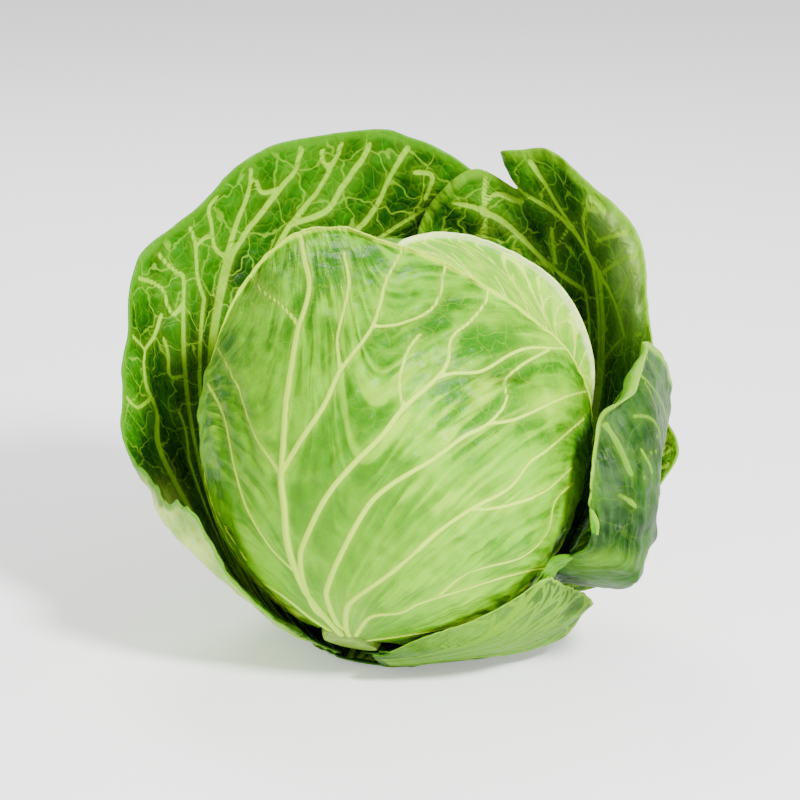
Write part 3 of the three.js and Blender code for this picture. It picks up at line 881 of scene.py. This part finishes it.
def leaf_finish(name, inside, outside, rib, foot, painted_shade, pale_and_painted_light, rim, network, gloss, bloom, footing=0.4,
                shine=0.5):
    finish = Finish(name)
    slow = finish.noise(finish.room(), 26, 3, 0.6)
    wander = finish.noise(finish.room(), 90, 3, 0.4)
    fine = finish.noise(finish.room(), 520, 3)
    streak = finish.noise(finish.fan_map(55, 7), 1.0, 2.0, 0.4)
    leaf_map = finish.leaf_map()
    bend = finish.node("ShaderNodeTexNoise", {}, {"Vector": leaf_map, "Scale": 1.3, "Detail": 2.0})
    warped = finish.node("ShaderNodeVectorMath", {"operation": "ADD"}, {0: leaf_map, 1: bend.outputs[1]})
    wide_cells = finish.cells(warped.outputs[0], 0.95)
    small_cells = finish.cells(warped.outputs[0], 2.6)
    reach = finish.attribute("reach")
    face = finish.attribute("outside")

    rib_mask = 1 - finish.step(finish.attribute("rib"), 0.6, 1.25)
    glow = 1 - finish.step(finish.attribute("gap"), 0.3, 4.0)
    wide_net = (1 - finish.step(wide_cells, 0.008, 0.045)) * network
    small_net = (1 - finish.step(small_cells, 0.01, 0.08)) * (network * 0.3)
    net = wide_net.at_least(small_net) * finish.step(reach, 0.25, 0.7)

    tone = finish.step(slow * 0.45 + wander * 0.2 + streak * 0.35, 0.42, 0.58)
    colour = finish.mix(face, finish.mix(tone, *inside), finish.mix(tone, *outside))
    colour = finish.mix((1 - finish.step(reach, 0.0, 0.75)) * footing, colour, foot)
    # Painted shade: where its patches lie, the green darkens towards the shade colour.
    colour = finish.mix(finish.attribute("painted_shade") * (0.55 + wander * 0.6), colour, painted_shade)
    # Painted light, and on the left leaf's flap also its paler colour: patches lighten the green.
    colour = finish.mix(finish.attribute("pale_and_painted_light") * (0.4 + streak * 0.8), colour, pale_and_painted_light)
    # Painted glints: pale streaks, only where the glint patches lie.
    colour = finish.mix(finish.attribute("painted_glint") * finish.step(streak, 0.48, 0.66) * 0.75, colour, PAINTED_GLINT)
    colour = finish.mix(finish.step(fine, 0.42, 0.7) * 0.08, colour, foot)
    colour = finish.mix(face * finish.step(wander, 0.35, 0.7) * bloom, colour, DEW)
    colour = finish.mix(glow * 0.12, colour, rib)
    colour = finish.mix(net, colour, rib)
    # The ribs are pale, but painted shade darkens them too.
    colour = finish.mix(rib_mask * (0.94 - finish.attribute("painted_shade") * 0.5), colour, rib)
    colour = finish.mix(finish.step(reach, 0.965, 0.988) * 0.85, colour, rim)

    fields = finish.step(small_cells, 0.0, 0.35) * 0.25 + finish.step(wide_cells, 0.0, 0.3) * 0.5
    folds = streak * 0.7 + wander * 0.7 + fine * 0.08
    height = rib_mask * 0.45 + fields * network + folds * (1 - rib_mask * 0.8)
    finish.feed(finish.shader, {
        "Base Color": colour,
        "Roughness": gloss + wander * 0.2 + rib_mask * 0.08,
        "Specular IOR Level": shine,
        "Normal": finish.bump(height, 0.0014),
        "Subsurface Weight": 0.05,
        "Subsurface Radius": (0.9, 1.0, 0.3),
        "Subsurface Scale": 0.003,
        "IOR": 1.45,
    })
    return finish.material


wrapper_finish = leaf_finish(
    "wrapper_leaf", inside=(screen(96, 156, 10), screen(130, 184, 30)),
    outside=(screen(38, 108, 0), screen(110, 178, 0)), rib=screen(186, 226, 44), foot=screen(116, 182, 0),
    painted_shade=screen(10, 60, 0), pale_and_painted_light=screen(146, 204, 0), rim=screen(190, 224, 30), network=0.12,
    gloss=0.3, bloom=0.0, shine=0.12,
)
second_finish = leaf_finish(
    "second_leaf", inside=(screen(170, 206, 70), screen(200, 224, 110)),
    outside=(screen(98, 166, 0), screen(148, 206, 0)), rib=screen(186, 220, 60), foot=screen(124, 184, 2),
    painted_shade=screen(40, 96, 0), pale_and_painted_light=screen(184, 218, 20), rim=screen(220, 238, 150), network=0.1,
    gloss=0.3, bloom=0.0, shine=0.15,
)
dark_finish = leaf_finish(
    "dark_leaf", inside=(screen(14, 68, 0), screen(44, 112, 0)),
    outside=(screen(40, 88, 8), screen(80, 132, 28)), rib=screen(156, 204, 30), foot=screen(100, 148, 20),
    painted_shade=screen(4, 38, 0), pale_and_painted_light=screen(186, 222, 120), rim=screen(104, 156, 6), network=0.42,
    gloss=0.4, bloom=0.1, footing=0.1, shine=0.15,
)
left_finish = leaf_finish(
    "left_leaf", inside=(screen(12, 72, 0), screen(44, 116, 0)),
    outside=(screen(84, 138, 26), screen(124, 172, 50)), rib=screen(156, 208, 24),
    foot=screen(100, 148, 20), painted_shade=screen(3, 36, 0), pale_and_painted_light=screen(222, 244, 120),
    rim=screen(78, 142, 0), network=0.42, gloss=0.42, bloom=0.06, footing=0.1, shine=0.15,
)
mid_finish = leaf_finish(
    "mid_leaf", inside=(screen(54, 122, 0), screen(96, 158, 4)),
    outside=(screen(10, 46, 0), screen(34, 82, 0)), rib=screen(100, 148, 20), foot=screen(50, 104, 4),
    painted_shade=screen(8, 44, 0), pale_and_painted_light=screen(96, 150, 10), rim=screen(124, 172, 30), network=0.12,
    gloss=0.38, bloom=0.05, footing=0.1, shine=0.15,
)
print("leaf finishes:", [m.name for m in bpy.data.materials if m.name.endswith("leaf")])

# %% [markdown]
# ## The leaves
# Each leaf's margin is a list of stations from the left of its foot round the tip to the right: degrees
# along, degrees across, millimetres that it stands off its layer, and degrees that its edge curls. The
# crown leaf and the left one close the ball under the front leaf. The photograph hardly shows them, so
# their ribs are grown by rule.

# %% The wrapper leaves under the front one
crown = PLAIN_LEAF | {
    "azimuth": 172, "layer": 3.0, "floor_order": 4, "seed": 11,
    "margin": [
        (16, -22, 0, 0), (40, -58, 0, 0), (80, -72, 0, 0), (120, -72, 0, 0), (160, -68, 0, 0),
        (195, -55, 0, 0), (212, -30, 0, 0), (216, 0, 0, 0), (212, 30, 0, 0), (195, 55, 0, 0),
        (160, 68, 0, 0), (120, 72, 0, 0), (80, 72, 0, 0), (40, 58, 0, 0), (16, 22, 0, 0),
    ],
}
grow_leaf(
    "wrapper_leaf_crown", crown,
    fan_of_ribs(crown, mains=(0.3, 0.4, 0.5, 0.6, 0.7), half_width=1.6, forks=4, seed=21),
    wrapper_finish, columns=260, rows=150,
)

left_wrapper = PLAIN_LEAF | {
    "azimuth": -84, "layer": 5.8, "floor_order": 3, "seed": 12,
    "margin": [
        (16, -20, 0, 0), (38, -40, 0, 0), (70, -48, 0, 0), (100, -46, 0, 0), (126, -38, 1, 0),
        (144, -22, 2, 0), (150, -4, 2, 0), (146, 14, 1, 0), (132, 30, 0, 0), (104, 40, 0, 0),
        (74, 42, 0, 0), (44, 38, 0, 0), (18, 22, 0, 0),
    ],
}
grow_leaf(
    "wrapper_leaf_left", left_wrapper,
    fan_of_ribs(left_wrapper, mains=(0.25, 0.38, 0.5, 0.62, 0.75), half_width=1.4, forks=4, seed=22),
    wrapper_finish, columns=200, rows=120,
)

# %% [markdown]
# The second leaf comes out from under the front one at the upper right of the ball, where its edge curls
# over and shows a whitish rim. It has a yellower finish of its own.

# %% The leaf with the whitish rim
second = PLAIN_LEAF | {
    "azimuth": 50, "layer": 5.8, "floor_order": 3, "seed": 13, "curl_from": 0.95, "rise_from": 0.8,
    "margin": [
        (16, -20, 0, 0), (38, -50, 0, 0), (75, -62, 0, 0), (115, -62, 0, 0), (146, -54, 0, 0),
        (162, -40, 0, 30), (164, -26, 1, 90), (160, -12, 4, 130), (152, -1, 8, 120), (141, 7, 11, 90),
        (124, 18, 9, 40), (104, 32, 1, 0), (78, 40, 0, 0), (46, 38, 0, 0), (18, 22, 0, 0),
    ],
}
grow_leaf(
    "wrapper_leaf_second", second,
    fan_of_ribs(second, mains=(0.25, 0.38, 0.5, 0.6, 0.7, 0.8), half_width=1.2, forks=4, seed=23),
    second_finish, columns=190, rows=110,
)

# %% [markdown]
# The front leaf covers the whole front of the ball. It gets the ribs, folds and patches of painted shade,
# light and glints that were followed in the photograph.

# %% The front leaf
front = PLAIN_LEAF | {
    "azimuth": 0, "layer": 8.9, "floor_order": 2, "seed": 14, "curl_from": 0.95, "rise_from": 0.6,
    "fan": 2, "lean": 0.4,
    "margin": [
        (14, -24, 0, 0), (30, -60, 0, 0), (62, -77, 0, 0), (98, -77, 0, 0), (124, -70, 1, 40),
        (141, -56, 5, 100), (150, -40, 8, 110), (148, -27, 5, 110), (139, -15, 1, 100),
        (133, -2, 1, 90), (129, 12, 1, 80), (128, 27, 1, 60), (129, 43, 2, 40), (124, 58, 3, 20),
        (104, 68, 1, 0), (72, 68, 0, 0), (40, 60, 0, 0), (14, 30, 0, 0),
    ],
}
grow_leaf(
    "wrapper_leaf_front", front, front_ribs, wrapper_finish, columns=260, rows=176,
    rib_height=0.7, pucker=0.8, folds=FRONT_FOLDS.values(), painted_shade=FRONT_PAINTED_SHADE.values(),
    pale_and_painted_light=FRONT_PAINTED_LIGHT.values(), painted_glint=FRONT_PAINTED_GLINTS.values(),
)

# %% [markdown]
# The right leaf stands behind the ball with its margin bent outwards. Its main ribs follow the photograph,
# and the rest are grown by rule. Patches of painted shade deepen its green beside and behind the ball, and
# patches of painted light lighten its margin.

# %% The right leaf
# Painted shade beside and behind the ball.
RIGHT_PAINTED_SHADE = {
    "top": (560, 250, 24, 30, 0.5),
    "ball_edge": (600, 360, 20, 70, 1.0),
    "behind_ball": (490, 228, 60, 14, 1.0),
    "beside_ball": (585, 300, 18, 44, 1.0),
}
# Painted light on the bent-out margin.
RIGHT_PAINTED_LIGHT = {
    "margin": (634, 270, 20, 64, 0.9),
    "margin_top": (612, 215, 18, 24, 0.7),
}
right_leaf = PLAIN_LEAF | {
    "azimuth": 120, "layer": 11.8, "floor_order": 2, "seed": 15, "rise_from": 0.3, "ruffle": 2.5,
    "ruffles": 9, "seen_from": -150,
    "margin": [
        (15, -7, 0, 0), (35, -10, 0, 0), (60, -18, 0, 0), (88, -38, 0, 0), (108, -49, 3, 0),
        (122, -47, 15, 10), (133, -41, 26, 30), (142, -34, 33, 45), (152, -28, 39, 45),
        (159, -22, 45, 35), (166, -14, 45, 25), (169, -7, 47, 15), (171, -1, 45, 10), (163, 1, 37, 0),
        (171, 5, 41, 0), (173, 12, 27, 0), (168, 25, 18, 0), (152, 36, 9, 0), (130, 42, 3, 0),
        (100, 42, 0, 0), (65, 38, 0, 0), (35, 28, 0, 0), (15, 14, 0, 0),
    ],
}
right_fan = fan_of_ribs(right_leaf, mains=(0.74, 0.86), half_width=1.4, forks=4, seed=24)
grow_leaf(
    "outer_leaf_right", right_leaf,
    np.vstack([ribs_seen_on(right_leaf, RIGHT_RIBS), right_fan]), dark_finish, columns=260, rows=150,
    pucker=0.9, painted_shade=RIGHT_PAINTED_SHADE.values(), pale_and_painted_light=RIGHT_PAINTED_LIGHT.values(),
)

# %% [markdown]
# The left leaf is the largest. It stands round the left of the ball from the top down to the pale flap at
# the lower left, and its margin is torn there. Painted shade makes it nearly black where it goes behind the
# ball, and darkens it where the ball's shadow falls on it. Patches lighten the flap, for its paler colour
# and as painted light.

# %% The left leaf
# Painted shade: the ball's shadow on the leaf beside the ball, and the shade behind and under the ball.
LEFT_PAINTED_SHADE = {
    "hollow_1": (236, 275, 16, 22, 1.0),
    "hollow_2": (212, 305, 16, 24, 1.0),
    "hollow_3": (196, 345, 14, 34, 1.0),
    "hollow_4": (186, 400, 14, 40, 1.0),
    "hollow_5": (180, 460, 18, 40, 0.9),
    "behind_ball": (430, 212, 50, 20, 0.9),
    "under_ball": (320, 655, 30, 8, 0.9),
}
# The flap is paler, and these patches also paint light on it.
LEFT_PALE_FLAP_AND_PAINTED_LIGHT = {
    "flap_1": (160, 510, 20, 24, 1.0),
    "flap_2": (190, 560, 24, 28, 1.0),
    "flap_3": (222, 605, 24, 22, 0.9),
    "flap_4": (262, 634, 24, 16, 0.5),
}
left_leaf = PLAIN_LEAF | {
    "azimuth": -135, "layer": 14.6, "floor_order": 1, "seed": 18, "rise_from": 0.3, "ruffle": 2.5,
    "ruffles": 9, "torn": (0.66, 0.96, 1.1), "seen_from": -150,
    "margin": [
        (15, -18, 0, 0), (38, -40, 0, 0), (72, -49, 1, 0), (108, -51, 6, 0), (142, -51, 15, 0),
        (166, -45, 25, 0), (178, -33, 33, 0), (180, -20, 37, 0), (176, -11, 38, 0), (170, -3, 40, 0),
        (163, 3, 49, 0), (153, 11, 50, 0), (144, 18, 46, 0), (134, 23, 45, 0), (121, 30, 44, 0),
        (107, 35, 33, 0), (94, 37, 31, 0), (82, 36, 24, 0), (70, 36, 21, -20), (57, 40, 17, -60),
        (42, 48, 13, -40), (30, 54, 11, 0), (20, 49, 8, 0), (14, 36, 6, 0), (9, 24, 3, 0), (9, 10, 1, 0),
    ],
}
left_fan = fan_of_ribs(left_leaf, mains=(0.06, 0.13, 0.2), half_width=1.4, forks=4, seed=27)
grow_leaf(
    "outer_leaf_left", left_leaf,
    np.vstack([ribs_seen_on(left_leaf, LEFT_RIBS), left_fan]), left_finish, columns=320, rows=150,
    pucker=0.9, painted_shade=LEFT_PAINTED_SHADE.values(), pale_and_painted_light=LEFT_PALE_FLAP_AND_PAINTED_LIGHT.values(),
)

# %% [markdown]
# The back leaf closes the back. The photograph shows only its edge behind the right leaf, so all of it is
# grown by rule.

# %% The back leaf
back_leaf = PLAIN_LEAF | {
    "azimuth": 150, "layer": 17.5, "floor_order": 0, "seed": 19, "ruffle": 2, "ruffles": 7,
    "margin": [
        (15, -12, 0, 0), (35, -24, 0, 0), (58, -40, 8, 0), (80, -52, 20, 0), (100, -57, 26, 0),
        (114, -52, 29, 0), (126, -40, 26, 0), (128, -20, 19, 0), (124, 0, 17, 0), (122, 20, 18, 0),
        (118, 38, 18, 0), (100, 50, 16, 0), (75, 50, 10, 0), (45, 40, 3, 0), (18, 22, 0, 0),
    ],
}
back_mains = (0.2, 0.32, 0.42, 0.5, 0.58, 0.68, 0.8)
grow_leaf(
    "outer_leaf_back", back_leaf,
    fan_of_ribs(back_leaf, back_mains, half_width=1.6, forks=5, seed=28), dark_finish,
    columns=300, rows=150, pucker=0.9,
)

# %% [markdown]
# The side leaf wraps the right side of the ball and bulges outwards in a flap. `belly` lifts its middle,
# and its edge is bent over. It is greener than the leaves behind the ball.

# %% The side leaf
# Painted shade on the middle, the low part and the top of the leaf.
SIDE_PAINTED_SHADE = {
    "middle": (620, 470, 14, 40, 0.5),
    "low": (650, 520, 14, 30, 0.5),
    "top": (640, 400, 30, 30, 0.4),
}
# Painted light on the foot and on the edge beside the ball.
SIDE_PAINTED_LIGHT = {
    "foot": (600, 560, 30, 10, 0.9),
    "ball_edge": (590, 470, 6, 50, 0.6),
}
side_leaf = PLAIN_LEAF | {
    "azimuth": 80, "layer": 14.6, "floor_order": 1, "seed": 16, "curl_from": 0.88, "rise_from": 0.6,
    "belly": 31, "belly_from": 60, "belly_full": 70, "ruffle": 2, "ruffles": 6, "seen_from": -150,
    "margin": [
        (14, -6, 0, 0), (30, -8, 0, 0), (46, -9, 0, 0), (58, -10, 0, 0), (66, -18, 5, 0),
        (74, -27, 7, 0), (84, -31, 5, 0), (96, -33, 4, 20), (102, -34, 4, 110), (109, -31, 6, 140),
        (115, -26, 10, 100), (118, -20, 16, 40), (119, -10, 23, 10), (116, 3, 27, 0), (106, 12, 26, 0),
        (90, 16, 22, 0), (72, 17, 15, 0), (50, 14, 0, 0), (28, 10, 0, 0), (13, 5, 0, 0),
    ],
}
side_fan = fan_of_ribs(side_leaf, mains=(0.72, 0.84), half_width=1.0, forks=3, seed=25)
grow_leaf(
    "outer_leaf_side", side_leaf,
    np.vstack([ribs_seen_on(side_leaf, SIDE_RIBS), side_fan]), mid_finish, columns=280, rows=160,
    pucker=1.0, painted_shade=SIDE_PAINTED_SHADE.values(), pale_and_painted_light=SIDE_PAINTED_LIGHT.values(),
)

# %% [markdown]
# The low right leaf lies under the ball. Its torn margin comes out at the lower right, where the light
# falls on it. Patches of painted light lighten that margin, and painted shade darkens its foot under the
# ball.

# %% The low right leaf
# Painted shade at the foot under the ball, and painted light on the lobe and end of the margin.
LOW_RIGHT_PAINTED_SHADE = {"foot": (430, 662, 50, 8, 0.4)}
LOW_RIGHT_PAINTED_LIGHT = {
    "lobe": (490, 635, 110, 34, 1.0),
    "end": (588, 598, 20, 20, 0.5),
}
low_right_leaf = PLAIN_LEAF | {
    "azimuth": 70, "layer": 17.5, "floor_order": 0, "seed": 17, "belly": 5, "ruffle": 1.5, "ruffles": 7,
    "torn": (0.05, 0.95, 0.35),
    "margin": [
        (13, -8, -1, 0), (24, -11, -4, 0), (36, -11, -4, 0), (48, -10, -3, 0), (57, -9, -1, 0),
        (59, -4, 1, 0), (60, 2, 4, 0), (61, 7, 8, 0), (61, 13, 12, 0), (56, 18, 14, 0),
        (47, 20, 11, 0), (38, 17, 5, 0), (26, 11, 1, 0), (13, 5, 0, 0),
    ],
}
grow_leaf(
    "outer_leaf_low_right", low_right_leaf,
    fan_of_ribs(low_right_leaf, mains=(0.25, 0.4, 0.5, 0.62, 0.75), half_width=1.1, forks=4, seed=26),
    mid_finish, columns=200, rows=80, pucker=0.8, painted_shade=LOW_RIGHT_PAINTED_SHADE.values(),
    pale_and_painted_light=LOW_RIGHT_PAINTED_LIGHT.values(),
)

# %% [markdown]
# ## The heart and the stem
# Their solids have the right shape already and hardly show, so they stay and only get a finish. The heart
# is leaf, as green as the ones over it where a gap on top lets it be seen. The stem is cut flesh: pale, a
# little fibrous, and browner where it dried.

# %% Finish the heart and the stem
heart_finish = Finish("heart_leaf")
heart_cloud = heart_finish.noise(heart_finish.room(), 30, 4)
heart_grain = heart_finish.noise(heart_finish.room(), 300, 3)
heart_finish.feed(heart_finish.shader, {
    "Base Color": heart_finish.mix(
        heart_finish.step(heart_cloud, 0.35, 0.65), screen(70, 136, 0), screen(116, 178, 10)
    ),
    "Roughness": 0.35 + heart_cloud * 0.2,
    "Normal": heart_finish.bump(heart_grain, 0.0004),
})

stem_finish = Finish("cut_stem")
stem_fibre = stem_finish.noise(stem_finish.room(), 260, 4)
stem_dry = stem_finish.noise(stem_finish.room(), 90, 3)
stem_grain = stem_finish.step(stem_fibre, 0.35, 0.7)
stem_flesh = stem_finish.mix(stem_grain, screen(112, 156, 30), screen(140, 178, 54))
stem_dried = stem_finish.step(stem_dry, 0.5, 0.75) * 0.4
stem_finish.feed(stem_finish.shader, {
    "Base Color": stem_finish.mix(stem_dried, stem_flesh, screen(140, 130, 62)),
    "Roughness": 0.5 + stem_fibre * 0.2,
    "Normal": stem_finish.bump(stem_fibre, 0.0006),
})
for node, finish in (("heart", heart_finish), ("stem", stem_finish)):
    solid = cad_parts[node]
    solid.data.materials.clear()
    solid.data.materials.append(finish.material)
